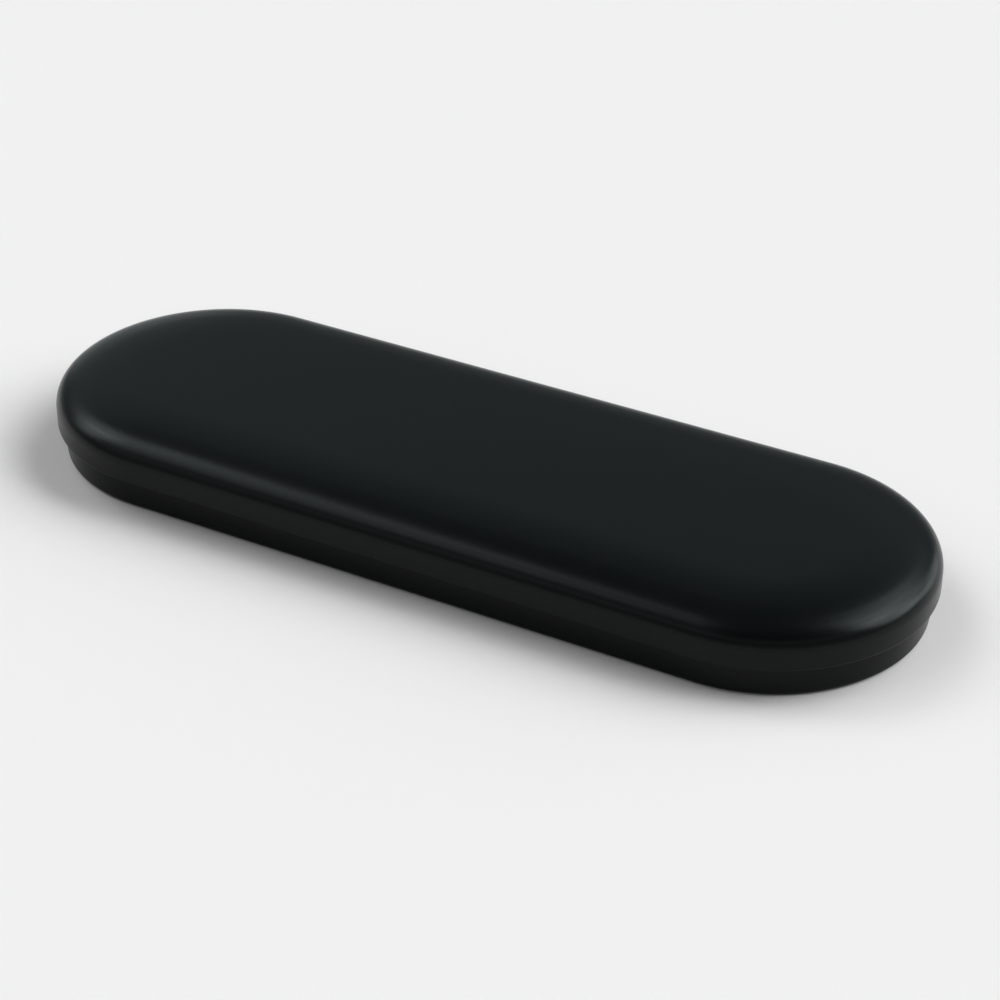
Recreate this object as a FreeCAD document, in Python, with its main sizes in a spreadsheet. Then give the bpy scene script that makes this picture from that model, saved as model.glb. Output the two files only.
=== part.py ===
import FreeCAD, Part
import math
import os
import re
import Sketcher

# Slim hinged tin for four tweezers: a drawn base tray, a slip-over lid with a crowned top,
# two wire hinges at the back, a die-cut foam insert and a thin foam pad under the lid.
# Frame: X along the case, +Y towards the hinges, +Z up, origin in the middle of the plane that
# the base rests on. Lengths are in millimetres and angles in degrees.

SIZES = {
    # Closed case
    "case_length": 172.0,
    "case_width": 60.0,
    "case_height": 14.2,
    "sheet": 0.3,
    # Lid: rounded edge, crowned shoulder, flat middle panel, hemmed skirt
    "lid_edge_radius": 4.1,
    "lid_shoulder_slope": 10.0,
    "lid_shoulder_run": 12.5,
    "lid_lower_edge": 6.05,
    "lid_hem_height": 1.5,
    # Base tray: it sits inside the lid's skirt by the inset
    "base_inset": 1.4,
    "base_corner_radius": 1.1,
    "base_hem_height": 1.0,
    "base_panel_rise": 0.6,
    "base_panel_slope": 45.0,
    "base_panel_margin": 5.5,
    "lid_seat_clearance": 0.25,
    # Friction pips pressed outward in the front wall of the base
    "pip_spacing": 44.0,
    "pip_radius": 1.1,
    "pip_crown_radius": 0.6,
    "pip_height": 0.6,
    # Wire hinges; the base's eyes are bent out of windows that end below its hem
    "hinge_spacing": 72.0,
    "hinge_drop": 0.45,
    "hinge_swing_clearance": 0.3,
    "pin_radius": 0.5,
    "pin_clearance": 0.05,
    "pin_overhang": 0.3,
    "pin_end_clearance": 0.4,
    "lid_eye_width": 6.0,
    "base_eye_width": 3.0,
    "eye_gap": 0.15,
    "eye_end_angle": 100.0,
    "window_margin": 0.15,
    # Foam insert with one cavity for each of four tweezers
    "insert_clearance": 0.4,
    "insert_thickness": 6.8,
    "insert_chamfer_share": 0.6,
    "film_thickness": 0.15,
    "film_margin": 2.0,
    "cavity_count": 4,
    "cavity_pitch": 13.4,
    "cavity_length": 132.0,
    "cavity_belly_width": 10.0,
    "cavity_tail_width": 6.6,
    "cavity_tip_width": 4.4,
    "cavity_belly_start": 30.0,
    "cavity_belly_end": 6.0,
    "cavity_depth": 5.6,
    "scoop_radius": 20.0,
    "scoop_depth": 4.0,
    "scoop_offset": 12.0,
    # Foam pad under the lid
    "pad_margin": 4.4,
    "pad_thickness": 3.0,
    # Every cut runs past the face that it starts from by this much
    "overrun": 1.0,
}

# Places that follow from the sizes. Each one is an expression on sizes and on places above it.
PLACES = {
    "lid_half": "case_width / 2",
    "straight": "case_length - case_width",
    "straight_half": "straight / 2",
    "slope_sin": "sin(lid_shoulder_slope * 1 deg)",
    "slope_cos": "cos(lid_shoulder_slope * 1 deg)",
    # Lid section, measured out from the middle line
    "shoulder_radius": "lid_shoulder_run / slope_sin",
    "lid_edge_x": "lid_half - lid_edge_radius",
    "lid_edge_z": "case_height - shoulder_radius * (1 - slope_cos) - lid_edge_radius * slope_cos",
    "lid_edge_inner": "lid_edge_radius - sheet",
    "lid_flat": "lid_edge_x + lid_edge_radius * slope_sin - lid_shoulder_run",
    "shoulder_z": "case_height - shoulder_radius",
    "shoulder_inner": "shoulder_radius - sheet",
    "lid_inside": "lid_half - sheet",
    "hem_inside": "lid_inside - sheet",
    "hem_centre_z": "lid_lower_edge + sheet",
    "hem_top": "lid_lower_edge + lid_hem_height",
    # Base section
    "base_half": "lid_half - base_inset",
    "base_inside": "base_half - sheet",
    "base_corner_x": "base_half - base_corner_radius",
    "base_corner_inner": "base_corner_radius - sheet",
    "base_hem_inside": "base_inside - sheet",
    "rim_reach": "lid_edge_inner - sheet - lid_seat_clearance",
    "rim_z": "lid_edge_z + sqrt(rim_reach ^ 2 - (base_inside - lid_edge_x) ^ 2)",
    "base_hem_lower": "rim_z + sheet - base_hem_height",
    "panel_half": "base_half - base_panel_margin",
    "panel_run": "base_panel_rise / tan(base_panel_slope * 1 deg)",
    "panel_bend": "sheet * tan(base_panel_slope / 2 * 1 deg)",
    "ring_inner": "panel_half + panel_run",
    "panel_top": "base_panel_rise + sheet",
    # Hinges
    "hinge_x": "hinge_spacing / 2",
    "eye_inner": "pin_radius + pin_clearance",
    "eye_outer": "eye_inner + sheet",
    "hinge_y": "lid_half + eye_inner",
    "hinge_z": "lid_lower_edge + hinge_drop",
    "eye_end_cos": "cos(eye_end_angle * 1 deg)",
    "eye_end_sin": "sin(eye_end_angle * 1 deg)",
    "base_eye_x": "lid_eye_width / 2 + eye_gap + base_eye_width / 2",
    "eyes_half": "base_eye_x + base_eye_width / 2",
    "pin_half": "eyes_half + pin_overhang",
    "notch_width": "2 * (pin_half + pin_end_clearance)",
    "notch_top": "hinge_z + eye_outer + hinge_swing_clearance",
    "strap_top": "hinge_z - eye_inner",
    "window_top": "base_hem_lower - window_margin",
    "pip_z": "(hem_top + base_hem_lower) / 2",
    # Foam insert and lid pad
    "insert_half": "base_inside - insert_clearance",
    "insert_z": "panel_top + film_thickness",
    "insert_film_half": "panel_half - film_margin",
    "cavity_span": "cavity_pitch * (cavity_count - 1)",
    "pad_film_half": "lid_flat - film_margin",
    "pad_gap": "sheet + film_thickness",
    "pad_half": "base_hem_inside - pad_margin",
    "pad_top": "case_height - pad_gap",
    "pad_drop": "shoulder_radius - sqrt(shoulder_radius ^ 2 - (pad_half - lid_flat) ^ 2)",
}

# Small bends and hidden ones are drawn as this many chords
HEM_CHORDS = 3
OUTER_CHORDS = 4
INNER_CHORDS = 3
SHOULDER_CHORDS = 2

WORD = re.compile(r"[a-z][a-z_]*")


def bound(text):
    """Write an expression on sizes and places as one on the sheet's cells."""

    def cell(match):
        name = match.group()
        if name in PLACES:
            return "(" + bound(PLACES[name]) + ")"
        return "Sizes." + name if name in SIZES else name

    return WORD.sub(cell, str(text))


def make_sheet(doc):
    """Write the driving dimensions into the sheet, one aliased cell each."""
    sheet = doc.addObject("Spreadsheet::Sheet", "Sizes")
    for row, (name, value) in enumerate(SIZES.items(), start=1):
        sheet.set(f"A{row}", name)
        sheet.set(f"B{row}", str(value))
        sheet.setAlias(f"B{row}", name)
    doc.recompute()
    return sheet


def number(text):
    """Value of an expression on sizes and places, as a plain number."""
    value = document.Sizes.evalExpression(bound(text))
    return float(getattr(value, "Value", value))


def make_body(label):
    """New body whose label names its file."""
    body = document.addObject("PartDesign::Body", label)
    body.Label = label
    body.Placement = FreeCAD.Placement()
    return body


def plane_of(body, role):
    """Origin plane or axis of a body by its role."""
    return next(part for part in body.Origin.OriginFeatures if part.Role == role)


def make_sketch(body, name, plane, shift=None):
    """Empty sketch on one of the body's planes, shifted along its own axes by expressions."""
    sketch = body.newObject("Sketcher::SketchObject", name)
    sketch.AttachmentSupport = (plane_of(body, plane), [""])
    sketch.MapMode = "FlatFace"
    for axis, text in (shift or {}).items():
        sketch.setExpression(f".AttachmentOffset.Base.{axis}", bound(text))
    return sketch


def constrain(sketch, text, kind, *places):
    """Add a dimension and bind it to an expression."""
    index = sketch.addConstraint(Sketcher.Constraint(kind, *places, number(text)))
    sketch.setExpression(f"Constraints[{index}]", bound(text))


def line(x, y):
    """Outline step: a straight line to the corner (x, y)."""
    return (x, y)


def arc(x, y, centre_x, centre_y, turn):
    """Outline step: an arc about a centre to the corner (x, y), turning left or right."""
    return (x, y, centre_x, centre_y, turn)


def bend(centre_x, centre_y, radius, first, last, count):
    """Outline steps: a bend that the eye sees as round, as equal chords from one angle to another."""
    steps = []
    for i in range(count + 1):
        angle = f"({first} + ({last} - {first}) * {i} / {count}) * 1 deg"
        steps.append(line(f"{centre_x} + {radius} * cos({angle})", f"{centre_y} + {radius} * sin({angle})"))
    return steps


def draw_arc(sketch, start, end, centre, turn):
    """Add an arc of a circle and return it with the positions of its start and end."""
    first, last = (start, end) if turn == "left" else (end, start)
    angles = [math.atan2(point.y - centre.y, point.x - centre.x) for point in (first, last)]
    circle = Part.Circle(centre, FreeCAD.Vector(0, 0, 1), (first - centre).Length)
    index = sketch.addGeometry(Part.ArcOfCircle(circle, *angles), False)
    return (index, 1, 2) if turn == "left" else (index, 2, 1)


def draw_outline(sketch, steps):
    """Draw a closed outline of lines and arcs whose every corner and centre is bound."""
    corners = [FreeCAD.Vector(number(step[0]), number(step[1]), 0) for step in steps]
    edges = []
    for i, step in enumerate(steps):
        start, end = corners[i - 1], corners[i]
        if len(step) == 2:
            edges.append((sketch.addGeometry(Part.LineSegment(start, end), False), 1, 2))
        else:
            centre = FreeCAD.Vector(number(step[2]), number(step[3]), 0)
            edges.append(draw_arc(sketch, start, end, centre, step[4]))
    for i, (edge, _, end) in enumerate(edges):
        following, start, _ = edges[(i + 1) % len(edges)]
        sketch.addConstraint(Sketcher.Constraint("Coincident", edge, end, following, start))
    for i, (step, (edge, _, end)) in enumerate(zip(steps, edges)):
        straight = len(step) == 2
        for axis, kind, along in ((0, "DistanceX", "Vertical"), (1, "DistanceY", "Horizontal")):
            if straight and step[axis] == steps[i - 1][axis]:
                sketch.addConstraint(Sketcher.Constraint(along, edge))
            elif step[axis] == "0":
                sketch.addConstraint(Sketcher.Constraint("PointOnObject", edge, end, axis - 2))
            else:
                constrain(sketch, step[axis], kind, -1, 1, edge, end)
        if not straight:
            chord = corners[i] - corners[i - 1]
            axis = 0 if abs(chord.x) < abs(chord.y) else 1
            kind = ("DistanceX", "DistanceY")[axis]
            if step[2 + axis] == "0":
                sketch.addConstraint(Sketcher.Constraint("PointOnObject", edge, 3, axis - 2))
            else:
                constrain(sketch, step[2 + axis], kind, -1, 1, edge, 3)


def outline(body, name, plane, steps, shift=None):
    """Sketch on a body's plane that holds one closed outline."""
    sketch = make_sketch(body, name, plane, shift)
    draw_outline(sketch, steps)
    document.recompute()
    return sketch


def volume_of(body):
    """Volume of a body so far, zero before its first feature."""
    return body.Shape.Volume if body.Tip else 0.0


def settle(body, feature, before):
    """Recompute, and stop when a feature that should cut takes nothing away, or the other way round."""
    document.recompute()
    cuts = feature.TypeId in ("PartDesign::Pocket", "PartDesign::Groove")
    if (feature.Shape.Volume < before) != cuts:
        raise SystemExit(f"{feature.Name} of {body.Label} works in the wrong direction")


def extrude(body, kind, name, sketch, length, symmetric=False):
    """Pad or pocket a sketch by a bound length."""
    before = volume_of(body)
    feature = body.newObject(f"PartDesign::{kind}", name)
    feature.Profile = sketch
    feature.SideType = "Symmetric" if symmetric else "One side"
    feature.setExpression("Length", bound(length))
    settle(body, feature, before)
    return feature


def revolve(body, kind, name, sketch, angle, axis="V_Axis"):
    """Revolve a sketch about one of its own axes, half the angle to each side."""
    before = volume_of(body)
    feature = body.newObject(f"PartDesign::{kind}", name)
    feature.Profile = sketch
    feature.ReferenceAxis = (sketch, [axis])
    feature.Angle = angle
    feature.Midplane = True
    settle(body, feature, before)
    return feature


def mirror(body, name, features, plane):
    """Mirror features in one of the body's origin planes."""
    feature = body.newObject("PartDesign::Mirrored", name)
    feature.Originals = features
    feature.MirrorPlane = (plane_of(body, plane), [""])
    feature.Refine = True
    body.Tip = feature
    document.recompute()
    return feature


def repeat(body, name, features, axis, length, count):
    """Repeat features in equal steps along one of the body's origin axes."""
    feature = body.newObject("PartDesign::LinearPattern", name)
    feature.Originals = features
    feature.Direction = (plane_of(body, axis), [""])
    feature.Mode = "Extent"
    feature.setExpression("Length", bound(length))
    feature.setExpression("Occurrences", bound(count))
    body.Tip = feature
    document.recompute()
    return feature


def drawn_shell(body, steps):
    """Carry one half section round the whole stadium: straight sides, then round ends."""
    side = extrude(body, "Pad", "Side", outline(body, "SideSection", "YZ_Plane", steps), "straight", True)
    mirror(body, "Sides", [side], "XZ_Plane")
    section = outline(body, "EndSection", "XZ_Plane", steps, {"x": "straight_half"})
    end = revolve(body, "Revolution", "End", section, 180)
    mirror(body, "Ends", [end], "YZ_Plane")


def stadium(half):
    """Steps of a stadium outline with the given half width, round the case's end centres."""
    return [
        line("straight_half", f"-{half}"),
        arc("straight_half", half, "straight_half", "0", "left"),
        line("-straight_half", half),
        arc("-straight_half", f"-{half}", "-straight_half", "0", "left"),
    ]


def base_section():
    """Half section of the tray: raised panel, resting ring, wall and a hem folded inward."""
    return [
        line("0", "base_panel_rise"),
        line("panel_half", "base_panel_rise"),
        line("ring_inner", "0"),
        *bend("base_corner_x", "base_corner_radius", "base_corner_radius", -90, 0, OUTER_CHORDS),
        *bend("base_inside", "rim_z", "sheet", 0, 180, HEM_CHORDS),
        line("base_hem_inside", "base_hem_lower"),
        line("base_inside", "base_hem_lower"),
        *bend("base_corner_x", "base_corner_radius", "base_corner_inner", 0, -90, INNER_CHORDS),
        line("ring_inner + panel_bend", "sheet"),
        line("panel_half + panel_bend", "panel_top"),
        line("0", "panel_top"),
    ]


def lid_section():
    """Half section of the lid: flat panel, crowned shoulder, rounded edge, skirt and hem."""
    return [
        line("0", "case_height"),
        line("lid_flat", "case_height"),
        arc("lid_edge_x + lid_edge_radius * slope_sin", "lid_edge_z + lid_edge_radius * slope_cos",
            "lid_flat", "shoulder_z", "right"),
        arc("lid_half", "lid_edge_z", "lid_edge_x", "lid_edge_z", "right"),
        *bend("lid_inside", "hem_centre_z", "sheet", 0, -180, HEM_CHORDS),
        line("hem_inside", "hem_top"),
        line("lid_inside", "hem_top"),
        *bend("lid_edge_x", "lid_edge_z", "lid_edge_inner", 0, "(90 - lid_shoulder_slope)", INNER_CHORDS),
        *bend("lid_flat", "shoulder_z", "shoulder_inner", "(90 - lid_shoulder_slope)", 90, SHOULDER_CHORDS)[1:],
        line("0", "case_height - sheet"),
    ]


def make_base_shell():
    """Tray with lanced hinge eyes, the windows that they leave, and two friction pips."""
    body = make_body("base_shell")
    drawn_shell(body, base_section())
    at_eye = {"z": "hinge_x + base_eye_x"}
    window = extrude(body, "Pocket", "Window", outline(body, "WindowSection", "YZ_Plane", [
        line("base_inside - overrun", "strap_top"),
        line("base_half + overrun", "strap_top"),
        line("base_half + overrun", "window_top"),
        line("base_inside - overrun", "window_top"),
    ], at_eye), "base_eye_width", True)
    eye = extrude(body, "Pad", "Eye", outline(body, "EyeSection", "YZ_Plane", [
        line("base_inside", "hinge_z - eye_outer"),
        line("hinge_y", "hinge_z - eye_outer"),
        arc("hinge_y + eye_outer * eye_end_cos", "hinge_z + eye_outer * eye_end_sin",
            "hinge_y", "hinge_z", "left"),
        line("hinge_y + eye_inner * eye_end_cos", "hinge_z + eye_inner * eye_end_sin"),
        arc("hinge_y", "strap_top", "hinge_y", "hinge_z", "right"),
        line("base_inside", "strap_top"),
    ], at_eye), "base_eye_width", True)
    pair = body.newObject("PartDesign::MultiTransform", "BaseEyes")
    pair.Originals = [window, eye]
    step = body.newObject("PartDesign::LinearPattern", "EyePair")
    step.Direction = (plane_of(body, "X_Axis"), [""])
    step.Reversed = True
    step.setExpression("Length", bound("2 * base_eye_x"))
    step.Occurrences = 2
    other = body.newObject("PartDesign::Mirrored", "OtherHinge")
    other.MirrorPlane = (plane_of(body, "YZ_Plane"), [""])
    pair.Transformations = [step, other]
    body.Tip = pair
    document.recompute()
    bump = revolve(body, "Revolution", "Pip", outline(body, "PipSection", "XY_Plane", [
        line("0", "-(base_inside + sheet / 2)"),
        line("0", "-(base_half + pip_height)"),
        line("pip_crown_radius", "-(base_half + pip_height)"),
        line("pip_radius", "-base_half"),
        line("pip_radius", "-(base_inside + sheet / 2)"),
    ], {"x": "pip_spacing / 2", "z": "pip_z"}), 360)
    dent = revolve(body, "Groove", "PipDent", outline(body, "DentSection", "XY_Plane", [
        line("0", "-(base_inside - overrun)"),
        line("0", "-(base_inside + pip_height)"),
        line("pip_crown_radius", "-(base_inside + pip_height)"),
        line("pip_radius", "-base_inside"),
        line("pip_radius", "-(base_inside - overrun)"),
    ], {"x": "pip_spacing / 2", "z": "pip_z"}), 360)
    mirror(body, "Pips", [bump, dent], "YZ_Plane")


def make_lid_shell():
    """Lid whose skirt is notched at each hinge round one curled eye."""
    body = make_body("lid_shell")
    drawn_shell(body, lid_section())
    at_hinge = {"z": "hinge_x"}
    notch = extrude(body, "Pocket", "Notch", outline(body, "NotchSection", "YZ_Plane", [
        line("hem_inside - overrun", "lid_lower_edge - overrun"),
        line("lid_half + overrun", "lid_lower_edge - overrun"),
        line("lid_half + overrun", "notch_top"),
        line("hem_inside - overrun", "notch_top"),
    ], at_hinge), "notch_width", True)
    eye = extrude(body, "Pad", "Eye", outline(body, "EyeSection", "YZ_Plane", [
        line("lid_inside", "notch_top"),
        line("lid_inside", "hinge_z"),
        arc("hinge_y + eye_outer * eye_end_cos", "hinge_z + eye_outer * eye_end_sin",
            "hinge_y", "hinge_z", "left"),
        line("hinge_y + eye_inner * eye_end_cos", "hinge_z + eye_inner * eye_end_sin"),
        arc("lid_half", "hinge_z", "hinge_y", "hinge_z", "right"),
        line("lid_half", "notch_top"),
    ], at_hinge), "lid_eye_width", True)
    mirror(body, "BothEyes", [notch, eye], "YZ_Plane")


def make_pin(label, side):
    """Plain wire through the three eyes of one hinge, held by the closed ends of the eyes."""
    body = make_body(label)
    body.setExpression("Placement.Base.x", bound(f"{side} * hinge_x"))
    body.setExpression("Placement.Base.y", bound("hinge_y"))
    body.setExpression("Placement.Base.z", bound("hinge_z"))
    revolve(body, "Revolution", "Wire", outline(body, "WireSection", "XZ_Plane", [
        line("-pin_half", "0"),
        line("pin_half", "0"),
        line("pin_half", "pin_radius"),
        line("-pin_half", "pin_radius"),
    ]), 360, "H_Axis")


def chamfer_lower_edge(body, block, size):
    """Chamfer the edges of a block that lie in its own ground plane."""
    names = [
        f"Edge{i}"
        for i, edge in enumerate(block.Shape.Edges, start=1)
        if all(abs(vertex.Z) < block.Shape.getTolerance(1) for vertex in edge.Vertexes)
    ]
    feature = body.newObject("PartDesign::Chamfer", "LowerEdge")
    feature.Base = (block, names)
    feature.setExpression("Size", bound(size))
    document.recompute()


def make_insert():
    """Foam block with chamfered lower edges, tapering cavities and a finger scoop."""
    body = make_body("tweezer_insert")
    body.setExpression("Placement.Base.z", bound("insert_z"))
    block = extrude(body, "Pad", "Block", outline(body, "BlockOutline", "XY_Plane", stadium("insert_half")),
                    "insert_thickness")
    chamfer_lower_edge(body, block, "base_corner_inner * insert_chamfer_share")
    tail_x = "-(cavity_length / 2 - cavity_tail_width / 2)"
    tip_x = "cavity_length / 2 - cavity_tip_width / 2"
    belly = "cavity_belly_width / 2"
    cavity = extrude(body, "Pocket", "Cavity", outline(body, "CavityOutline", "XY_Plane", [
        line("-cavity_belly_start", f"-({belly})"),
        line("cavity_belly_end", f"-({belly})"),
        line(tip_x, "-cavity_tip_width / 2"),
        arc(tip_x, "cavity_tip_width / 2", tip_x, "0", "left"),
        line("cavity_belly_end", belly),
        line("-cavity_belly_start", belly),
        line(tail_x, "cavity_tail_width / 2"),
        arc(tail_x, "-cavity_tail_width / 2", tail_x, "0", "left"),
    ], {"y": "-cavity_span / 2", "z": "insert_thickness"}), "cavity_depth")
    repeat(body, "Cavities", [cavity], "Y_Axis", "cavity_span", "cavity_count")
    rise = "insert_thickness - scoop_depth + scoop_radius"
    half = "sqrt(scoop_radius ^ 2 - (scoop_radius - scoop_depth) ^ 2)"
    extrude(body, "Pocket", "Scoop", outline(body, "ScoopSection", "XZ_Plane", [
        line(f"-({half})", "insert_thickness + overrun"),
        line(f"-({half})", "insert_thickness"),
        arc(half, "insert_thickness", "0", rise, "left"),
        line(half, "insert_thickness + overrun"),
    ], {"x": "-scoop_offset"}), "cavity_span + cavity_belly_width", True)


def make_insert_adhesive():
    """Film between the raised panel of the base and the insert."""
    body = make_body("insert_adhesive")
    body.setExpression("Placement.Base.z", bound("panel_top"))
    extrude(body, "Pad", "Film", outline(body, "FilmOutline", "XY_Plane", stadium("insert_film_half")),
            "film_thickness")


def make_lid_pad():
    """Die-cut foam pad that bends down with the lid's crown."""
    body = make_body("lid_pad")
    drawn_shell(body, [
        line("0", "pad_top - pad_thickness"),
        line("lid_flat", "pad_top - pad_thickness"),
        line("pad_half", "pad_top - pad_drop - pad_thickness"),
        line("pad_half", "pad_top - pad_drop"),
        line("lid_flat", "pad_top"),
        line("0", "pad_top"),
    ])


def make_pad_adhesive():
    """Film between the lid's flat panel and the pad."""
    body = make_body("pad_adhesive")
    body.setExpression("Placement.Base.z", bound("pad_top"))
    extrude(body, "Pad", "Film", outline(body, "FilmOutline", "XY_Plane", stadium("pad_film_half")),
            "film_thickness")


document = FreeCAD.newDocument("TweezerCase")
make_sheet(document)
make_base_shell()
make_lid_shell()
make_pin("hinge_pin_left", -1)
make_pin("hinge_pin_right", 1)
make_insert()
make_insert_adhesive()
make_lid_pad()
make_pad_adhesive()
document.recompute()

failed = [part.Name for part in document.Objects if {"Invalid", "Error"} & set(part.State)]
if failed:
    raise SystemExit(f"features that failed: {failed}")
os.makedirs("parts", exist_ok=True)
for piece in document.Objects:
    if piece.TypeId != "PartDesign::Body":
        continue
    shape = piece.Shape
    if shape.isNull() or not shape.isValid() or len(shape.Solids) != 1:
        raise SystemExit(f"{piece.Label} is not one sound solid")
    shape.exportStep(os.path.join("parts", f"{piece.Label}.step"))
    box = shape.BoundBox
    print(f"{piece.Label}: volume {shape.Volume:.1f}, x {box.XMin:.2f} {box.XMax:.2f}, "
          f"y {box.YMin:.2f} {box.YMax:.2f}, z {box.ZMin:.2f} {box.ZMax:.2f}")
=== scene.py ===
"""Looks of a slim hinged tin for tweezers: satin black lacquer outside, black foam inside."""

import logging
import math
from dataclasses import dataclass
from enum import Enum
from typing import Callable

import bmesh
import bpy
from mathutils import Matrix, Vector

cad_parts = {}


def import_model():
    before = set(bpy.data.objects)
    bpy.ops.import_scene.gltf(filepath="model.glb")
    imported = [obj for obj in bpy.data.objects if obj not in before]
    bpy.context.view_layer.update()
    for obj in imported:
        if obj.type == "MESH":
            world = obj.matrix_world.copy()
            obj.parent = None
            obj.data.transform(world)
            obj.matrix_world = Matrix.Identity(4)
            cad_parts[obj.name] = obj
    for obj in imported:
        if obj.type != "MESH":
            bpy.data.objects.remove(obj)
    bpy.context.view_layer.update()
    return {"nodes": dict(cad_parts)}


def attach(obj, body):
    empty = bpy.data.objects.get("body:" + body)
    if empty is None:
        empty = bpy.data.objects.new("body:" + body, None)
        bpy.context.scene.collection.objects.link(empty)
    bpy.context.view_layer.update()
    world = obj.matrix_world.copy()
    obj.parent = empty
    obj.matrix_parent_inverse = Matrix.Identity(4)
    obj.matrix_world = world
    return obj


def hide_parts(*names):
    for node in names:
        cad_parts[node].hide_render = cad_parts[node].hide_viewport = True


MM = 0.001
# Places nearer than this, in metres, are one place.
NEAR = 1e-6
# The same, for places that mirroring or spinning has moved a little.
NEARLY = 1e-5
# Edges of foam flatter than this, in degrees, are shaded smooth.
FOAM_SMOOTH = 60.0
log = logging.getLogger("tweezer_tin")

Point = tuple[float, float]
Corner = tuple[float, float, float]


class Side(Enum):
    """The two hinges, by the side of the case's middle that they are on."""

    LEFT = -1
    RIGHT = 1


# Working in edit mode.


def deselect_all() -> None:
    """Leave edit mode and deselect every object."""
    if bpy.context.object and bpy.context.object.mode != "OBJECT":
        bpy.ops.object.mode_set(mode="OBJECT")
    bpy.ops.object.select_all(action="DESELECT")


def take(piece: bpy.types.Object) -> None:
    """Make one object the only selected one, and the active one.

    Args:
        piece: The object to work on.
    """
    deselect_all()
    piece.select_set(True)
    bpy.context.view_layer.objects.active = piece


def pick(piece: bpy.types.Object, chosen: Callable[[Vector], bool]) -> None:
    """Select, in edit mode, the vertices that lie where a test says.

    Args:
        piece: The object in edit mode.
        chosen: Test on a vertex's place.
    """
    mesh = bmesh.from_edit_mesh(piece.data)
    for element in (*mesh.verts, *mesh.edges, *mesh.faces):
        element.select_set(False)
    for vertex in mesh.verts:
        vertex.select_set(chosen(piece.matrix_world @ vertex.co))
    mesh.select_flush(True)
    bmesh.update_edit_mesh(piece.data)


def settle(piece: bpy.types.Object, smooth_below: float = 35.0) -> None:
    """Put a finished piece's place into its mesh and shade it.

    Args:
        piece: The finished object.
        smooth_below: Edges flatter than this angle, in degrees, are shaded smooth.
    """
    take(piece)
    bpy.ops.object.transform_apply(location=True, rotation=True, scale=True)
    bpy.ops.object.shade_smooth_by_angle(angle=math.radians(smooth_below))


def apply_modifier(piece: bpy.types.Object, kind: str, **settings: object) -> None:
    """Add a modifier, set it up and apply it.

    Args:
        piece: The object that gets it.
        kind: Blender's name for the modifier.
        settings: Properties of the modifier.
    """
    take(piece)
    bpy.ops.object.modifier_add(type=kind)
    modifier = piece.modifiers[-1]
    for name, value in settings.items():
        setattr(modifier, name, value)
    bpy.ops.object.modifier_apply(modifier=modifier.name)


def cut(piece: bpy.types.Object, cutter: bpy.types.Object) -> None:
    """Take a cutter's shape out of a piece, and delete the cutter."""
    apply_modifier(piece, "BOOLEAN", operation="DIFFERENCE", solver="EXACT", object=cutter)
    bpy.data.objects.remove(cutter)


def block(name: str, low: Vector, high: Vector) -> bpy.types.Object:
    """Make a plain box between two corners, to cut with.

    Args:
        name: Name of the new object.
        low: Its lowest corner, in metres.
        high: Its highest corner, in metres.

    Returns:
        The box.
    """
    deselect_all()
    bpy.ops.mesh.primitive_cube_add(size=1.0, location=(low + high) / 2)
    box = bpy.context.object
    box.name = name
    box.scale = high - low
    bpy.ops.object.transform_apply(location=True, rotation=True, scale=True)
    return box


def draw_line(name: str, points: list[Vector]) -> bpy.types.Object:
    """Draw an open line by extruding one vertex from point to point.

    Args:
        name: Name of the new object.
        points: The line's points, in metres.

    Returns:
        The new object, in edit mode with its last vertex selected.
    """
    deselect_all()
    bpy.ops.mesh.primitive_plane_add(size=MM, location=points[0])
    line = bpy.context.object
    line.name = line.data.name = name
    bpy.ops.object.mode_set(mode="EDIT")
    bpy.ops.mesh.select_mode(type="VERT")
    bpy.ops.mesh.select_all(action="SELECT")
    bpy.ops.mesh.merge(type="CENTER")
    for here, there in zip(points, points[1:]):
        bpy.ops.mesh.extrude_vertices_move(TRANSFORM_OT_translate={"value": there - here})
    return line


def arc(centre: Point, radius: float, first: float, last: float, count: int) -> list[Corner]:
    """Points of an arc, as corners with no rounding of their own.

    Args:
        centre: Centre of the arc.
        radius: Its radius.
        first: Angle of the first point, in degrees.
        last: Angle of the last point, in degrees.
        count: Number of chords.

    Returns:
        The corners from the first point to the last.
    """
    angles = [math.radians(first + (last - first) * i / count) for i in range(count + 1)]
    return [(centre[0] + radius * math.cos(a), centre[1] + radius * math.sin(a), 0.0) for a in angles]


def rounded(corners: list[Corner], chords: int) -> list[Point]:
    """Round the corners of an open line.

    Args:
        corners: Places of the corners, each with the radius that rounds it.
        chords: Number of chords in each rounding.

    Returns:
        The points of the rounded line.
    """
    points: list[Point] = []
    for i, (x, z, radius) in enumerate(corners):
        if not radius:
            points.append((x, z))
            continue
        here = Vector((x, z))
        back = (Vector(corners[i - 1][:2]) - here).normalized()
        ahead = (Vector(corners[i + 1][:2]) - here).normalized()
        half = back.angle(ahead) / 2
        centre = here + (back + ahead).normalized() * radius / math.sin(half)
        start = here + back * radius / math.tan(half) - centre
        end = here + ahead * radius / math.tan(half) - centre
        turn = start.angle_signed(end)
        for step in range(chords + 1):
            spoke = start.copy()
            spoke.rotate(Matrix.Rotation(-turn * step / chords, 2))
            points.append(tuple(centre + spoke))
    return points


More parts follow.
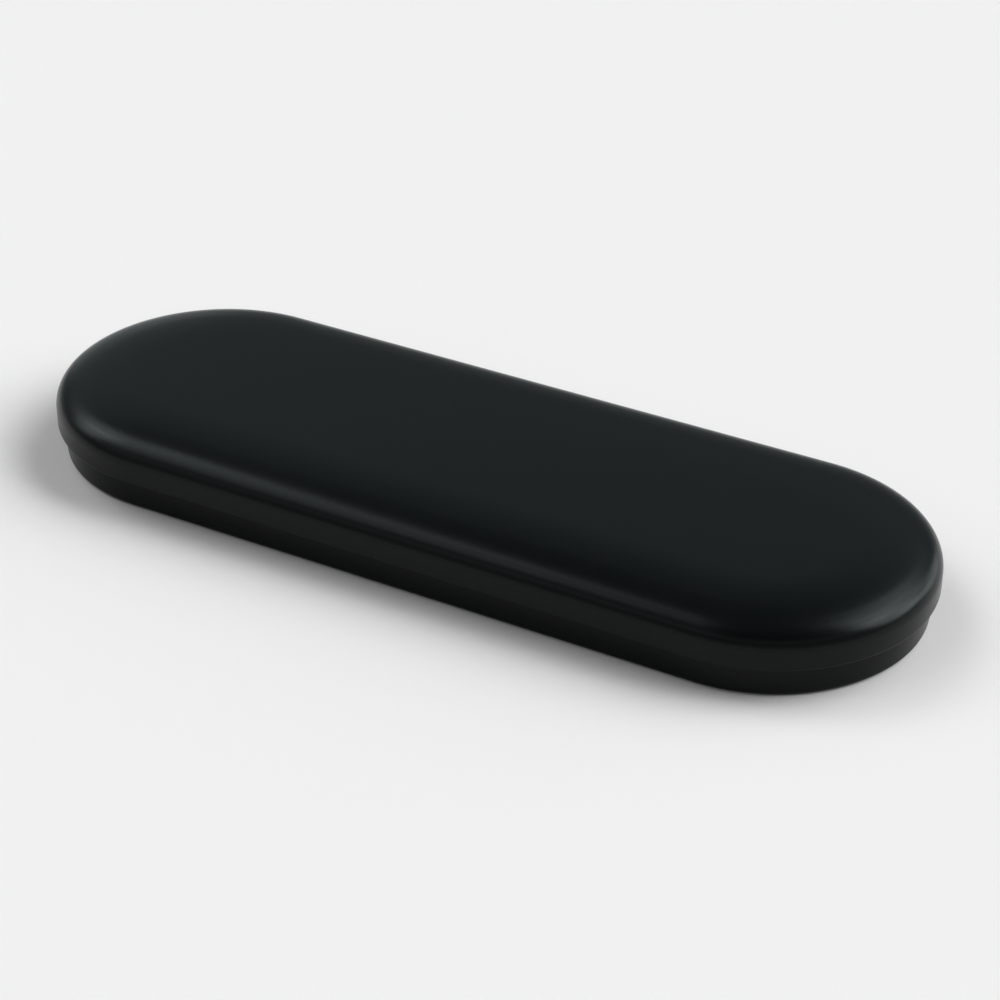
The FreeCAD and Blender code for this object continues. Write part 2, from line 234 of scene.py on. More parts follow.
@dataclass(frozen=True)
class Outline:
    """The stadium that every big piece follows, and the way to carry a section round it."""

    straight_half: float = 56.0
    end_steps: int = 72

    def carry(self, name: str, section: list[Point]) -> bpy.types.Object:
        """Carry an open section round the stadium, and close the flat panels inside it.

        Args:
            name: Name of the new object.
            section: Points (distance from the middle line, height) in millimetres.

        Returns:
            A closed shell with outward faces, in object mode.
        """
        half = self.straight_half * MM
        shell = draw_line(name, [Vector((half, -w * MM, z * MM)) for w, z in section])
        bpy.ops.mesh.select_all(action="SELECT")
        bpy.ops.mesh.spin(steps=self.end_steps, angle=math.pi, center=(half, 0, 0), axis=(0, 0, -1))
        pick(shell, lambda place: abs(place.x - half) < NEAR)
        bpy.ops.mesh.extrude_region_move(TRANSFORM_OT_translate={"value": (-half, 0, 0)})
        bpy.ops.object.mode_set(mode="OBJECT")
        bpy.ops.object.transform_apply(location=True, rotation=True, scale=True)
        apply_modifier(shell, "MIRROR", use_axis=(True, False, False), merge_threshold=NEARLY)
        bpy.ops.object.mode_set(mode="EDIT")
        bpy.ops.mesh.select_all(action="SELECT")
        bpy.ops.mesh.remove_doubles(threshold=NEAR)
        for width, height in (section[0], section[-1]):
            self._close(shell, width * MM, height * MM)
        bpy.ops.mesh.select_all(action="SELECT")
        bpy.ops.mesh.normals_make_consistent(inside=False)
        bpy.ops.object.mode_set(mode="OBJECT")
        return shell

    def _close(self, shell: bpy.types.Object, width: float, height: float) -> None:
        """Fill the flat stadium inside one end of the section.

        Args:
            shell: The shell, in edit mode.
            width: Distance of the stadium's edge from the middle line, in metres.
            height: Height of the stadium, in metres.
        """
        half = self.straight_half * MM

        def on_loop(place: Vector) -> bool:
            """Whether a place lies on the loop."""
            reach = math.hypot(max(abs(place.x) - half, 0.0), place.y)
            return abs(place.z - height) < NEAR and abs(reach - width) < NEARLY

        pick(shell, on_loop)
        bpy.ops.mesh.edge_face_add()


# Materials.


def linear(colour: str) -> tuple[float, float, float, float]:
    """Turn an sRGB hex colour into linear light, with full opacity."""
    parts = [int(colour[i : i + 2], 16) / 255 for i in (1, 3, 5)]
    return (*(p / 12.92 if p <= 0.04045 else ((p + 0.055) / 1.055) ** 2.4 for p in parts), 1.0)


def per_metre(size: float) -> float:
    """Noise scale whose features are about this many millimetres across."""
    return 1.0 / (size * MM)


def add_node(
    tree: bpy.types.NodeTree, kind: str, inputs: dict | None = None, **settings: object
) -> bpy.types.Node:
    """Add a node to a tree, with its settings and links.

    Args:
        tree: The material's or world's node tree.
        kind: Blender's name for the node.
        inputs: A value or an output socket for each named or numbered input.
        settings: Properties of the node.

    Returns:
        The new node.
    """
    node = tree.nodes.new(kind)
    for name, value in settings.items():
        setattr(node, name, value)
    for name, value in (inputs or {}).items():
        if isinstance(value, bpy.types.NodeSocket):
            tree.links.new(value, node.inputs[name])
        else:
            node.inputs[name].default_value = value
    return node


def new_material(name: str) -> tuple[bpy.types.Material, bpy.types.NodeTree, bpy.types.NodeSocket]:
    """Make an empty material, for nodes to be added to.

    Args:
        name: Name of the material.

    Returns:
        The material, its node tree and the socket of its object coordinates.
    """
    material = bpy.data.materials.new(name)
    material.use_nodes = True
    tree = material.node_tree
    tree.nodes.clear()
    place = add_node(tree, "ShaderNodeTexCoord").outputs["Object"]
    return material, tree, place


def noise(tree: bpy.types.NodeTree, place: object, size: float, detail: float) -> bpy.types.NodeSocket:
    """Add a noise whose features are about a given number of millimetres across.

    Args:
        tree: The material's node tree.
        place: Socket of the coordinates that the noise follows.
        size: Size of the features, in millimetres.
        detail: How many finer layers the noise has.

    Returns:
        The noise's value, from 0 to 1.
    """
    inputs = {"Vector": place, "Scale": per_metre(size), "Detail": detail}
    return add_node(tree, "ShaderNodeTexNoise", inputs).outputs[0]


def blend(
    tree: bpy.types.NodeTree, share: object, low: object, high: object, kind: str = "FLOAT"
) -> bpy.types.NodeSocket:
    """Mix two numbers or two colours.

    Args:
        tree: The material's or world's node tree.
        share: Socket of the share that the second one gets.
        low: The first number or colour.
        high: The second one.
        kind: FLOAT for numbers, RGBA for colours.

    Returns:
        The result's socket.
    """
    first, last, result = (2, 3, 0) if kind == "FLOAT" else (6, 7, 2)
    node = add_node(tree, "ShaderNodeMix", {0: share, first: low, last: high}, data_type=kind)
    return node.outputs[result]


@dataclass(frozen=True)
class SatinLacquer:
    """Stoved satin black lacquer on tinplate: near black, faint orange peel, a broad soft gloss."""

    name: str = "satin black lacquer on tinplate"
    colour: str = "#060808"
    cloud_colour: str = "#090b0b"
    roughness: float = 0.26
    roughness_spread: float = 0.03
    ior: float = 1.5
    specular: float = 0.13
    peel_size: float = 1.1
    peel_depth: float = 0.012
    peel_strength: float = 0.5
    cloud_size: float = 38.0
    smear_size: float = 7.6

    def material(self) -> bpy.types.Material:
        """Build the lacquer's material.

        Returns:
            The new material.
        """
        material, tree, place = new_material(self.name)
        # Wide, barely visible clouds keep the large black faces from looking like a flat fill.
        cloud = noise(tree, place, self.cloud_size, detail=2.0)
        colour = blend(tree, cloud, linear(self.colour), linear(self.cloud_colour), "RGBA")
        # Small changes of roughness, as from handling, make the edge of a highlight waver.
        smear = noise(tree, place, self.smear_size, detail=4.0)
        roughness = blend(tree, smear, self.roughness - self.roughness_spread,
                          self.roughness + self.roughness_spread)
        # Orange peel of the stoved coat: felt in a highlight only, never seen as bumps.
        peel = noise(tree, place, self.peel_size, detail=1.5)
        bump = add_node(tree, "ShaderNodeBump", {
            "Height": peel, "Strength": self.peel_strength, "Distance": self.peel_depth * MM})
        shader = add_node(tree, "ShaderNodeBsdfPrincipled", {
            "Base Color": colour, "Roughness": roughness, "IOR": self.ior,
            "Specular IOR Level": self.specular, "Normal": bump.outputs[0]})
        add_node(tree, "ShaderNodeOutputMaterial", {"Surface": shader.outputs[0]})
        return material


@dataclass(frozen=True)
class DrawnWire:
    """Bright drawn steel wire: die lines along its length over a soft metal shine."""

    name: str = "drawn steel wire"
    colour: str = "#b4b2ad"
    roughness: float = 0.32
    line_size: float = 0.08
    line_stretch: float = 0.02
    line_depth: float = 0.01
    line_strength: float = 0.2
    roughness_spread: float = 0.1

    def material(self) -> bpy.types.Material:
        """Build the wire's material.

        Returns:
            The new material.
        """
        material, tree, place = new_material(self.name)
        # Noise stretched along the wire reads as the fine lines that the drawing die leaves.
        stretch = (self.line_stretch, 1.0, 1.0)
        along = add_node(tree, "ShaderNodeMapping", {"Vector": place, "Scale": stretch})
        lines = noise(tree, along.outputs[0], self.line_size, detail=3.0)
        roughness = blend(tree, lines, self.roughness - self.roughness_spread,
                          self.roughness + self.roughness_spread)
        bump = add_node(tree, "ShaderNodeBump", {
            "Height": lines, "Strength": self.line_strength, "Distance": self.line_depth * MM})
        shader = add_node(tree, "ShaderNodeBsdfPrincipled", {
            "Base Color": linear(self.colour), "Metallic": 1.0, "Roughness": roughness,
            "Normal": bump.outputs[0]})
        add_node(tree, "ShaderNodeOutputMaterial", {"Surface": shader.outputs[0]})
        return material


@dataclass(frozen=True)
class FlockedFoam:
    """Foam under a short black flock: a dull nap of fine fibres that pales towards grazing view."""

    name: str = "black flock on foam"
    colour: str = "#1d1d1f"
    light_colour: str = "#3a3a3e"
    roughness: float = 0.95
    specular: float = 0.2
    sheen: float = 0.35
    sheen_roughness: float = 0.45
    sheen_colour: str = "#8b8b92"
    fibre_size: float = 0.45
    nap_size: float = 9.0
    nap_depth: float = 0.16
    nap_strength: float = 0.8

    def material(self) -> bpy.types.Material:
        """Build the flock's material.

        Returns:
            The new material.
        """
        material, tree, place = new_material(self.name)
        # Single fibres catch the light as fine grain, and brushed patches of nap shift its tone.
        fibre = noise(tree, place, self.fibre_size, detail=5.0)
        nap = noise(tree, place, self.nap_size, detail=2.0)
        share = add_node(tree, "ShaderNodeMath", {0: fibre, 1: nap}, operation="MULTIPLY").outputs[0]
        colour = blend(tree, share, linear(self.colour), linear(self.light_colour), "RGBA")
        bump = add_node(tree, "ShaderNodeBump", {
            "Height": fibre, "Strength": self.nap_strength, "Distance": self.nap_depth * MM})
        # The sheen pales the nap towards a grazing view, which is what tells flock from rubber.
        shader = add_node(tree, "ShaderNodeBsdfPrincipled", {
            "Base Color": colour, "Roughness": self.roughness, "Specular IOR Level": self.specular,
            "Sheen Weight": self.sheen, "Sheen Roughness": self.sheen_roughness,
            "Sheen Tint": linear(self.sheen_colour), "Normal": bump.outputs[0]})
        add_node(tree, "ShaderNodeOutputMaterial", {"Surface": shader.outputs[0]})
        return material


@dataclass(frozen=True)
class AdhesiveFilm:
    """Clear-backed acrylic adhesive film: cloudy, pale amber, slightly wet looking."""

    name: str = "acrylic adhesive film"
    colour: str = "#d8cfb4"
    cloud_colour: str = "#e4dfcf"
    roughness: float = 0.28
    ior: float = 1.47
    cloud_size: float = 14.0

    def material(self) -> bpy.types.Material:
        """Build the film's material.

        Returns:
            The new material.
        """
        material, tree, place = new_material(self.name)
        # Cloudy patches are where the film has wetted the foam and where it has not.
        cloud = noise(tree, place, self.cloud_size, detail=3.0)
        colour = blend(tree, cloud, linear(self.colour), linear(self.cloud_colour), "RGBA")
        shader = add_node(tree, "ShaderNodeBsdfPrincipled", {
            "Base Color": colour, "Roughness": self.roughness, "IOR": self.ior})
        add_node(tree, "ShaderNodeOutputMaterial", {"Surface": shader.outputs[0]})
        return material


def dress(piece: bpy.types.Object, material: bpy.types.Material) -> None:
    """Give a piece one material all over.

    Args:
        piece: The piece, a new one or a CAD node.
        material: The material that it gets.
    """
    piece.data.materials.clear()
    piece.data.materials.append(material)
    for face in piece.data.polygons:
        face.material_index = 0


# The tin.


@dataclass(frozen=True)
class Tinplate:
    """Sizes that the lid, the base and the hinges share, in millimetres."""

    sheet: float = 0.3
    height: float = 14.2
    lid_half: float = 30.0
    lid_lower: float = 6.05
    base_half: float = 28.6
    rim_z: float = 11.26
    hinge_x: float = 36.0
    hinge_y: float = 30.55
    hinge_z: float = 6.5
    eye_middle: float = 0.7
    lid_eye_width: float = 6.0
    base_eye_width: float = 3.0
    eye_gap: float = 0.15
    eye_end: float = 100.0
    curl_chords: int = 28
    notch_half: float = 6.85
    notch_top: float = 7.65
    edge_break: float = 0.05
    sharp_edge: float = 50.0

    def tongue(
        self, name: str, straight: list[Point], first: float, width: float, middle: float
    ) -> bpy.types.Object:
        """Curl a tongue of sheet round the hinge line.

        Args:
            name: Name of the new object.
            straight: Points (y, z) of the flat part that leads to the curl.
            first: Angle on the curl where the flat part ends, in degrees.
            width: Width of the tongue.
            middle: The x of its middle.

        Returns:
            The tongue, with its sheet thickness.
        """
        curl = arc((self.hinge_y, self.hinge_z), self.eye_middle, first, 360 + self.eye_end, self.curl_chords)
        path = [*straight, *[(y, z) for y, z, _ in curl]]
        left = (middle - width / 2) * MM
        strip = draw_line(name, [Vector((left, y * MM, z * MM)) for y, z in path])
        bpy.ops.mesh.select_all(action="SELECT")
        bpy.ops.mesh.extrude_region_move(TRANSFORM_OT_translate={"value": (width * MM, 0, 0)})
        bpy.ops.object.mode_set(mode="OBJECT")
        apply_modifier(strip, "SOLIDIFY", thickness=self.sheet * MM, offset=0.0, use_even_offset=True)
        bpy.ops.object.mode_set(mode="EDIT")
        bpy.ops.mesh.select_all(action="SELECT")
        bpy.ops.mesh.normals_make_consistent(inside=False)
        bpy.ops.object.mode_set(mode="OBJECT")
        bpy.ops.object.transform_apply(location=True, rotation=True, scale=True)
        apply_modifier(strip, "BEVEL", width=self.edge_break * MM, segments=2, limit_method="ANGLE",
                       angle_limit=math.radians(self.sharp_edge))
        return strip


def join(first: bpy.types.Object, others: list[bpy.types.Object]) -> None:
    """Join other objects into the first one.

    Args:
        first: The object that stays.
        others: The objects that become part of it.
    """
    take(first)
    for other in others:
        other.select_set(True)
    bpy.ops.object.join()


@dataclass(frozen=True)
class Bend:
    """One arc of the lid's edge: its radius, the slope in degrees that it ends at, and its chords."""

    radius: float
    slope: float
    chords: int


@dataclass
class Lid:
    """Slip-over lid: flat panel, shoulder that bends ever tighter, hemmed skirt and two curled eyes."""

    tin: Tinplate
    outline: Outline
    lacquer: SatinLacquer
    bends: tuple[Bend, ...] = (
        Bend(95, 5, 8), Bend(36, 10, 8), Bend(13, 18, 6), Bend(6, 30, 6), Bend(3.6, 90, 20))
    hem_height: float = 1.5
    hem_chords: int = 6
    notch_front: float = 28.4
    notch_back: float = 31.0
    overrun: float = 1.0

    def edge(self, inset: float) -> list[Corner]:
        """Draw the curve from the flat panel down to the skirt.

        Args:
            inset: How far inside the outer face the curve lies.

        Returns:
            The curve's points, from the panel to the skirt.
        """
        level = slope = 0.0
        spans = []
        for bend in self.bends:
            spans.append(bend.radius * (math.sin(math.radians(bend.slope)) - level))
            level = math.sin(math.radians(bend.slope))
        width, height = self.tin.lid_half - sum(spans), self.tin.height
        points: list[Corner] = []
        for bend, span in zip(self.bends, spans):
            start, end = math.radians(slope), math.radians(bend.slope)
            centre = (width - bend.radius * math.sin(start), height - bend.radius * math.cos(start))
            points += arc(centre, bend.radius - inset, 90 - slope, 90 - bend.slope, bend.chords)[:-1]
            width, height, slope = width + span, centre[1] + bend.radius * math.cos(end), bend.slope
        return [*points, (width - inset, height, 0.0)]

    def section(self) -> list[Point]:
        """Draw the section from the panel's top round the skirt's hem to the panel's underside.

        Returns:
            The points of the open line, in millimetres.
        """
        tin, sheet = self.tin, self.tin.sheet
        inside = tin.lid_half - sheet
        return rounded([
            *self.edge(0.0),
            (tin.lid_half, tin.lid_lower, sheet),
            (inside - sheet, tin.lid_lower, sheet),
            (inside - sheet, tin.lid_lower + self.hem_height, 0),
            (inside, tin.lid_lower + self.hem_height, 0),
            *reversed(self.edge(sheet)),
        ], self.hem_chords)

    def build(self) -> bpy.types.Object:
        """Model the lid and let it stand for its CAD node.

        Returns:
            The finished lid.
        """
        tin = self.tin
        lid = self.outline.carry("lid", self.section())
        eyes = []
        for side in Side:
            middle = side.value * tin.hinge_x
            low = Vector((middle - tin.notch_half, self.notch_front, tin.lid_lower - self.overrun)) * MM
            high = Vector((middle + tin.notch_half, self.notch_back, tin.notch_top)) * MM
            cut(lid, block("notch", low, high))
            wall = tin.lid_half - tin.sheet / 2
            eyes.append(tin.tongue("lid_eye", [(wall, tin.notch_top)], 180, tin.lid_eye_width, middle))
        join(lid, eyes)
        settle(lid)
        dress(lid, self.lacquer.material())
        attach(lid, "lid")
        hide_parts("lid_shell")
        return lid


@dataclass
class Base:
    """Drawn tray: raised panel, resting ring, hemmed wall, four lanced eyes and two friction pips."""

    tin: Tinplate
    outline: Outline
    lacquer: SatinLacquer
    corner_radius: float = 1.1
    panel_rise: float = 0.6
    panel_half: float = 23.1
    panel_margin: float = 1.0
    panel_bend_outer: float = 0.5
    panel_bend_inner: float = 0.4
    panel_half_slope: float = 22.5
    hem_height: float = 1.0
    bend_chords: int = 10
    window_top: float = 10.41
    window_front: float = 27.5
    window_back: float = 30.0
    tongue_root_share: float = 0.6
    pip_spacing: float = 44.0
    pip_radius: float = 1.1
    pip_height: float = 0.6
    pip_z: float = 9.05
    pip_sides: int = 32
    pip_sunk: float = 0.1
    # How steep the dome is, in degrees, and how wide it still is there, as a share of its radius.
    pip_shares: tuple[Point, ...] = ((0.0, 1.0), (18.0, 0.97), (38.0, 0.83), (60.0, 0.58), (80.0, 0.25))

    def section(self) -> list[Point]:
        """Draw the section from the panel's underside round the rim to the panel's top.

        Returns:
            The points of the open line, in millimetres.
        """
        tin, sheet = self.tin, self.tin.sheet
        rim, inside, ring = tin.rim_z + sheet, tin.base_half - sheet, self.panel_half + self.panel_rise
        offset = sheet * math.tan(math.radians(self.panel_half_slope))
        return rounded([
            (self.panel_half - self.panel_margin, self.panel_rise, 0),
            (self.panel_half, self.panel_rise, self.panel_bend_outer),
            (ring, 0, self.panel_bend_outer),
            (tin.base_half, 0, self.corner_radius),
            (tin.base_half, rim, sheet),
            (inside - sheet, rim, sheet),
            (inside - sheet, rim - self.hem_height, 0),
            (inside, rim - self.hem_height, 0),
            (inside, sheet, self.corner_radius - sheet),
            (ring + offset, sheet, self.panel_bend_inner),
            (self.panel_half + offset, self.panel_rise + sheet, self.panel_bend_inner),
            (self.panel_half - self.panel_margin, self.panel_rise + sheet, 0),
        ], self.bend_chords)

    def pip(self, middle: float) -> bpy.types.Object:
        """Small dome pressed out of the front wall.

        Args:
            middle: The x of its middle.

        Returns:
            The dome, sunk a little into the wall.
        """
        root = Vector((middle, self.pip_sunk - self.tin.base_half, self.pip_z)) * MM
        deselect_all()
        bpy.ops.mesh.primitive_circle_add(vertices=self.pip_sides, radius=self.pip_radius * MM,
                                          fill_type="NGON", location=root, rotation=(math.pi / 2, 0, 0))
        dome = bpy.context.object
        dome.name = "pip"
        bpy.ops.object.mode_set(mode="EDIT")
        bpy.ops.mesh.select_all(action="SELECT")
        centre = dome.location.copy()
        reach = -self.pip_sunk
        for (_, wide), (angle, share) in zip(self.pip_shares, self.pip_shares[1:]):
            rise = self.pip_height * math.sin(math.radians(angle))
            bpy.ops.mesh.extrude_region_move(TRANSFORM_OT_translate={"value": (0, (reach - rise) * MM, 0)})
            bpy.ops.transform.resize(value=(share / wide, 1, share / wide), center_override=centre)
            reach = rise
        bpy.ops.mesh.select_all(action="SELECT")
        bpy.ops.mesh.normals_make_consistent(inside=False)
        bpy.ops.object.mode_set(mode="OBJECT")
        bpy.ops.object.transform_apply(location=True, rotation=True, scale=True)
        return dome

    def build(self) -> bpy.types.Object:
        """Model the tray and let it stand for its CAD node.

        Returns:
            The finished base.
        """
        tin = self.tin
        tray = self.outline.carry("base", self.section())
        strap_z = tin.hinge_z - tin.eye_middle
        step = tin.lid_eye_width / 2 + tin.eye_gap + tin.base_eye_width / 2
        added = []
        for side in Side:
            for shift in (-step, step):
                middle = side.value * tin.hinge_x + shift
                half = tin.base_eye_width / 2
                low = Vector((middle - half, self.window_front, strap_z + tin.sheet / 2)) * MM
                high = Vector((middle + half, self.window_back, self.window_top)) * MM
                cut(tray, block("window", low, high))
                flat = [(tin.base_half - tin.sheet * self.tongue_root_share, strap_z)]
                added.append(tin.tongue("base_eye", flat, 270, tin.base_eye_width, middle))
            added.append(self.pip(side.value * self.pip_spacing / 2))
        join(tray, added)
        settle(tray)
        dress(tray, self.lacquer.material())
        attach(tray, "base")
        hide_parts("base_shell")
        return tray


@dataclass
class Insert:
    """Flocked foam block with four tapering cavities and a finger scoop across them."""

    outline: Outline
    flock: FlockedFoam
    half: float = 27.9
    bottom: float = 1.05
    top: float = 7.85
    lower_chamfer: float = 0.48
    upper_round: float = 0.5
    inner_margin: float = 6.0
    edge_chords: int = 4
    cavity_pitch: float = 13.4
    cavity_length: float = 132.0
    cavity_depth: float = 5.6
    belly_half: float = 5.0
    tail_half: float = 3.3
    tip_half: float = 2.2
    belly_start: float = -30.0
    belly_end: float = 6.0
    belly_round: float = 6.0
    belly_chords: int = 6
    tail_chords: int = 16
    tip_chords: int = 14
    overrun: float = 1.0
    scoop_radius: float = 20.0
    scoop_depth: float = 4.0
    scoop_x: float = -12.0
    scoop_sides: int = 160
    voxel: float = 0.5
    smooth_factor: float = 0.5
    smooth_rounds: int = 4
    rows: tuple[float, ...] = (-1.5, -0.5, 0.5, 1.5)

    def cavity(self, row: float) -> bpy.types.Object:
        """Cutter for one cavity, with straight sides.

        Args:
            row: Row of the cavity, in pitches from the middle.

        Returns:
            The closed cutter.
        """
        tail_x = -self.cavity_length / 2 + self.tail_half
        tip_x = self.cavity_length / 2 - self.tip_half
        corners = [
            *arc((tail_x, 0), self.tail_half, 270, 90, self.tail_chords),
            (self.belly_start, self.belly_half, self.belly_round),
            (self.belly_end, self.belly_half, self.belly_round),
            *arc((tip_x, 0), self.tip_half, 90, -90, self.tip_chords),
            (self.belly_end, -self.belly_half, self.belly_round),
            (self.belly_start, -self.belly_half, self.belly_round),
        ]
        line = rounded([*corners, corners[0]], self.belly_chords)[:-1]
        y, z = row * self.cavity_pitch, self.top - self.cavity_depth
        cutter = draw_line("cavity", [Vector((px, py + y, z)) * MM for px, py in line])
        bpy.ops.mesh.select_all(action="SELECT")
        bpy.ops.mesh.edge_face_add()
        rise = (0, 0, (self.cavity_depth + self.overrun) * MM)
        bpy.ops.mesh.extrude_region_move(TRANSFORM_OT_translate={"value": rise})
        bpy.ops.mesh.select_all(action="SELECT")
        bpy.ops.mesh.normals_make_consistent(inside=False)
        bpy.ops.object.mode_set(mode="OBJECT")
        bpy.ops.object.transform_apply(location=True, rotation=True, scale=True)
        return cutter

    def scoop(self) -> bpy.types.Object:
        """Cutter for the finger scoop: a wide roller laid across the cavities.

        Returns:
            The closed cutter.
        """
        deselect_all()
        width = self.cavity_pitch * 3 + self.belly_half * 2
        middle = Vector((self.scoop_x, 0, self.top - self.scoop_depth + self.scoop_radius)) * MM
        bpy.ops.mesh.primitive_cylinder_add(
            vertices=self.scoop_sides, radius=self.scoop_radius * MM, depth=width * MM, location=middle,
            rotation=(math.pi / 2, 0, 0))
        roller = bpy.context.object
        bpy.ops.object.transform_apply(location=True, rotation=True, scale=True)
        return roller

    def build(self) -> bpy.types.Object:
        """Model the insert and let it stand for its CAD node.

        Returns:
            The finished insert.
        """
        inner = self.half - self.inner_margin
        foam = self.outline.carry("foam_insert", rounded([
            (inner, self.bottom, 0),
            (self.half - self.lower_chamfer, self.bottom, 0),
            (self.half, self.bottom + self.lower_chamfer, 0),
            (self.half, self.top, self.upper_round),
            (inner, self.top, 0),
        ], self.edge_chords))
        for row in self.rows:
            cut(foam, self.cavity(row))
        cut(foam, self.scoop())
        apply_modifier(foam, "REMESH", mode="VOXEL", voxel_size=self.voxel * MM, use_smooth_shade=True)
        apply_modifier(foam, "SMOOTH", factor=self.smooth_factor, iterations=self.smooth_rounds)
        settle(foam, FOAM_SMOOTH)
        dress(foam, self.flock.material())
        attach(foam, "base")
        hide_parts("tweezer_insert")
        return foam


@dataclass
class LidPad:
    """Thin flocked foam pad under the lid, soft at its edge and a little proud in the middle."""

    outline: Outline
    flock: FlockedFoam
    top: float = 13.75
    thickness: float = 3.0
    flat_half: float = 14.1
    half: float = 23.6
    drop: float = 0.63
    inner_margin: float = 4.0
    upper_round: float = 0.3
    lower_round: float = 1.4
    edge_swell: float = 0.1
    middle_swell: float = 0.14
    edge_chords: int = 10

    def build(self) -> bpy.types.Object:
        """Model the pad and let it stand for its CAD node.

        Returns:
            The finished pad.
        """
        low = self.top - self.thickness
        inner = self.flat_half - self.inner_margin
        pad = self.outline.carry("lid_padding", rounded([
            (inner, self.top, 0),
            (self.flat_half, self.top, 0),
            (self.half, self.top - self.drop, self.upper_round),
            (self.half, low - self.drop, self.lower_round),
            (self.flat_half, low - self.edge_swell, 0),
            (inner, low - self.middle_swell, 0),
        ], self.edge_chords))
        settle(pad, FOAM_SMOOTH)
        dress(pad, self.flock.material())
        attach(pad, "lid")
        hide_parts("lid_pad")
        return pad


@dataclass
class CarriedParts:
    """Pieces whose CAD shape is shown as it is: the hinge wires and the adhesive films."""

    nodes: dict[str, bpy.types.Object]
    wire: DrawnWire
    film: AdhesiveFilm
    wires: tuple[str, ...] = ("hinge_pin_left", "hinge_pin_right")
    films: tuple[str, ...] = ("insert_adhesive", "pad_adhesive")

    def dress(self) -> None:
        """Give the carried pieces their materials."""
        steel, acrylic = self.wire.material(), self.film.material()
        for name in self.wires:
            dress(self.nodes[name], steel)
        for name in self.films:
            dress(self.nodes[name], acrylic)


# The studio.


@dataclass(frozen=True)
class SoftLamp:
    """Round soft lamp, far enough away to light the whole floor evenly.

    The azimuth turns from +X towards +Y. It, the elevation and the width that the lamp is seen
    with are in degrees. A brightness of 1 is a lamp as bright as white paper.
    """

    name: str
    azimuth: float
    elevation: float
    width: float
    brightness: float
    colour: str = "#f2fdff"
    distance: float = 2.0

    def build(self) -> bpy.types.Object:
        """Hang the lamp, with the strength that its width and brightness give.

        Returns:
            The lamp, in the scene.
        """
        turn, rise = math.radians(self.azimuth), math.radians(self.elevation)
        away = Vector((math.cos(turn) * math.cos(rise), math.sin(turn) * math.cos(rise), math.sin(rise)))
        lamp = bpy.data.lights.new(self.name, "SUN")
        lamp.color = linear(self.colour)[:3]
        lamp.angle = math.radians(self.width)
        lamp.energy = self.brightness * 2 * math.pi * (1 - math.cos(lamp.angle / 2))
        light = bpy.data.objects.new(self.name, lamp)
        light.location = away * self.distance
        light.rotation_euler = (-away).to_track_quat("-Z", "Y").to_euler()
        bpy.context.scene.collection.objects.link(light)
        return light


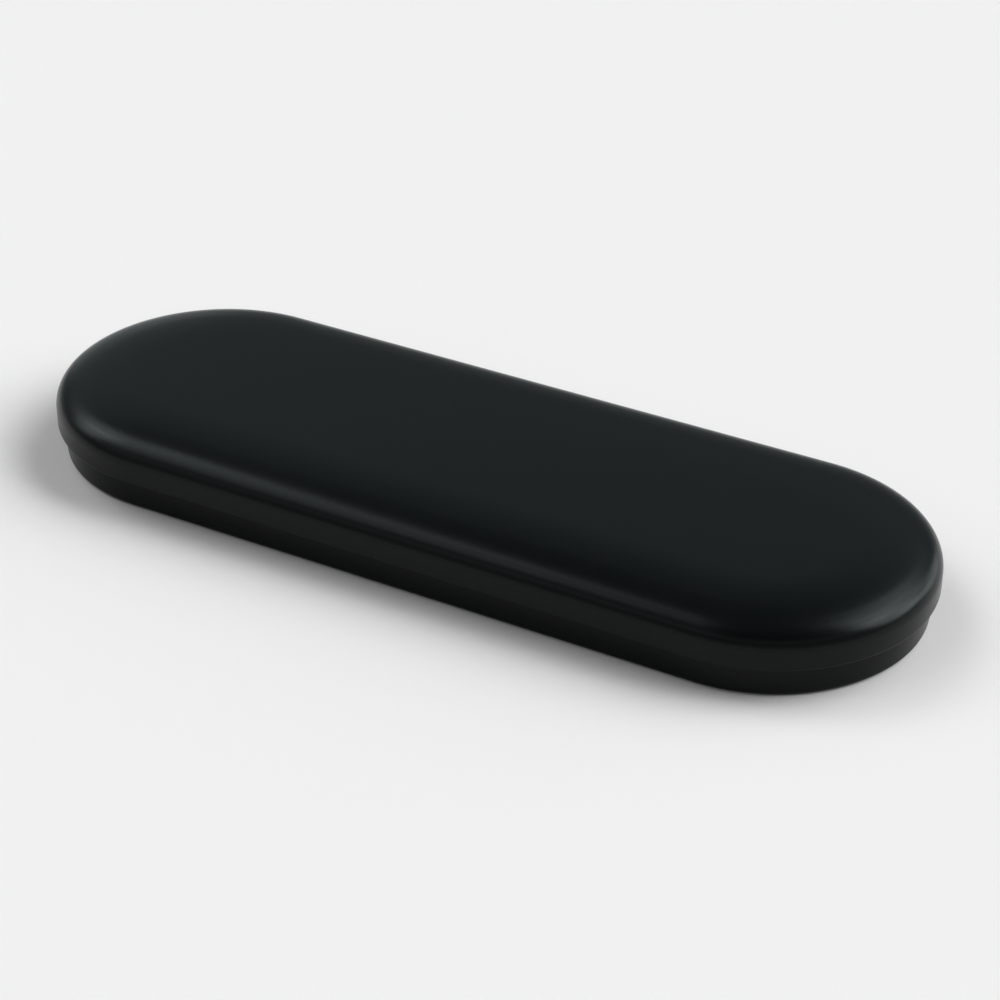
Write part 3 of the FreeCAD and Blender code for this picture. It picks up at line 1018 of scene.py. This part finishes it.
@dataclass
class Studio:
    """Pale floor, soft lights and the camera at the photograph's angle."""

    floor_colour: str = "#e8dedc"
    backdrop_colour: str = "#f1f1f1"
    floor_size: float = 40.0
    grain_size: float = 3.0
    grain_depth: float = 0.1
    grain_strength: float = 0.03
    floor_roughness: float = 0.9
    floor_specular: float = 0.1
    # Colours of the room's light, each with its height: 0 at the horizon, 1 overhead.
    dome: tuple[tuple[float, str], ...] = (
        (0.0, "#98a0a1"), (0.16, "#98a0a1"), (0.36, "#686e6f"), (0.52, "#c1cbcc"), (0.68, "#353838"),
        (1.0, "#3c3f3f"))
    azimuth: float = 29.29
    elevation: float = 31.53
    distance: float = 0.4823
    target: tuple[float, float, float] = (0.0, 0.0, 0.0066)
    lens: float = 96.8
    sensor: float = 36.0
    shift: tuple[float, float] = (0.0218, -0.0171)
    lamps: tuple[SoftLamp, ...] = (
        SoftLamp("right", 28, 30, 40, 4.2),
        SoftLamp("right, near the front", 17, 43, 24, 2.2),
        SoftLamp("right, high", 36, 52, 24, 3.5),
        SoftLamp("right, low", 36, 20, 22, 1.6),
        SoftLamp("back right, high", 58, 56, 22, 2.9),
        SoftLamp("back right", 60, 40, 22, 3.0),
        SoftLamp("back right, low", 64, 12, 28, 1.9),
        SoftLamp("right, lowest", 50, 13, 20, 1.7),
        SoftLamp("back, high", 80, 52, 18, 1.2),
        SoftLamp("back", 82, 44, 16, 2.2),
        SoftLamp("left", 180, 42, 24, 3.3),
        SoftLamp("left, near the back", 160, 46, 20, 3.3),
        SoftLamp("left, high", 168, 60, 22, 1.3),
        SoftLamp("left, highest", 196, 63, 26, 0.9),
        SoftLamp("left, low", 190, 28, 20, 1.8),
        SoftLamp("left, near the front", 215, 54, 26, 0.9),
        SoftLamp("back left, at the floor", 135, 10, 20, 0.5),
        SoftLamp("front left", 235, 38, 50, 0.25),
    )

    def floor(self) -> None:
        """Lay the floor that the case rests on."""
        deselect_all()
        bpy.ops.mesh.primitive_plane_add(size=self.floor_size, location=(0, 0, 0))
        floor = bpy.context.object
        floor.name = "studio_floor"
        material, tree, place = new_material("pale matt paper")
        # Paper grain, too fine to be seen from the camera, which softens the case's mirror image.
        grain = noise(tree, place, self.grain_size, detail=3.0)
        bump = add_node(tree, "ShaderNodeBump", {
            "Height": grain, "Strength": self.grain_strength, "Distance": self.grain_depth * MM})
        shader = add_node(tree, "ShaderNodeBsdfPrincipled", {
            "Base Color": linear(self.floor_colour), "Roughness": self.floor_roughness,
            "Specular IOR Level": self.floor_specular, "Normal": bump.outputs[0]})
        add_node(tree, "ShaderNodeOutputMaterial", {"Surface": shader.outputs[0]})
        dress(floor, material)

    def sky(self) -> None:
        """Light the room, paler near the floor and half way up than overhead."""
        world = bpy.data.worlds.new("studio")
        world.use_nodes = True
        tree = world.node_tree
        tree.nodes.clear()
        ray = add_node(tree, "ShaderNodeTexCoord").outputs["Generated"]
        height = add_node(tree, "ShaderNodeSeparateXYZ", {0: ray}).outputs["Z"]
        ramp = add_node(tree, "ShaderNodeValToRGB", {0: height})
        while len(ramp.color_ramp.elements) < len(self.dome):
            ramp.color_ramp.elements.new(0.5)
        for stop, (place, colour) in zip(ramp.color_ramp.elements, self.dome):
            stop.position, stop.color = place, linear(colour)
        seen = add_node(tree, "ShaderNodeLightPath").outputs["Is Camera Ray"]
        shown = blend(tree, seen, ramp.outputs[0], linear(self.backdrop_colour), "RGBA")
        light = add_node(tree, "ShaderNodeBackground", {"Color": shown, "Strength": 1.0})
        add_node(tree, "ShaderNodeOutputWorld", {"Surface": light.outputs[0]})
        bpy.context.scene.world = world

    def camera(self) -> None:
        """Set the camera where the photograph was taken from."""
        turn, rise = math.radians(self.azimuth), math.radians(self.elevation)
        back = Vector((math.sin(turn) * math.cos(rise), -math.cos(turn) * math.cos(rise), math.sin(rise)))
        lens = bpy.data.cameras.new("photo camera")
        lens.lens, lens.sensor_width = self.lens, self.sensor
        lens.shift_x, lens.shift_y = self.shift
        camera = bpy.data.objects.new("photo camera", lens)
        camera.location = Vector(self.target) + back * self.distance
        camera.rotation_euler = (-back).to_track_quat("-Z", "Y").to_euler()
        bpy.context.scene.collection.objects.link(camera)
        bpy.context.scene.camera = camera

    def build(self) -> None:
        """Set up the floor, the room's light, the lamps and the camera."""
        self.floor()
        self.sky()
        self.camera()
        for lamp in self.lamps:
            lamp.build()
        bpy.context.scene.view_settings.view_transform = "Standard"


def main() -> None:
    """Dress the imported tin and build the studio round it."""
    logging.basicConfig(level=logging.INFO, format="%(name)s: %(message)s")
    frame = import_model()
    tin, outline = Tinplate(), Outline()
    lid = Lid(tin, outline, SatinLacquer(name="satin black lacquer on the lid"))
    # The base gets the lid's lacquer a touch darker: painted shade on the lower part of the case.
    base = Base(tin, outline, SatinLacquer(name="satin black lacquer on the base", colour="#050606"))
    insert = Insert(outline, FlockedFoam())
    pad = LidPad(outline, FlockedFoam(name="black flock on the lid pad", light_colour="#404044"))
    for part in (lid, base, insert, pad):
        piece = part.build()
        log.info("%s: %d faces, from %s", piece.name, len(piece.data.polygons), type(part).__name__)
    CarriedParts(frame["nodes"], DrawnWire(), AdhesiveFilm()).dress()
    Studio().build()


if __name__ == "__main__":
    main()
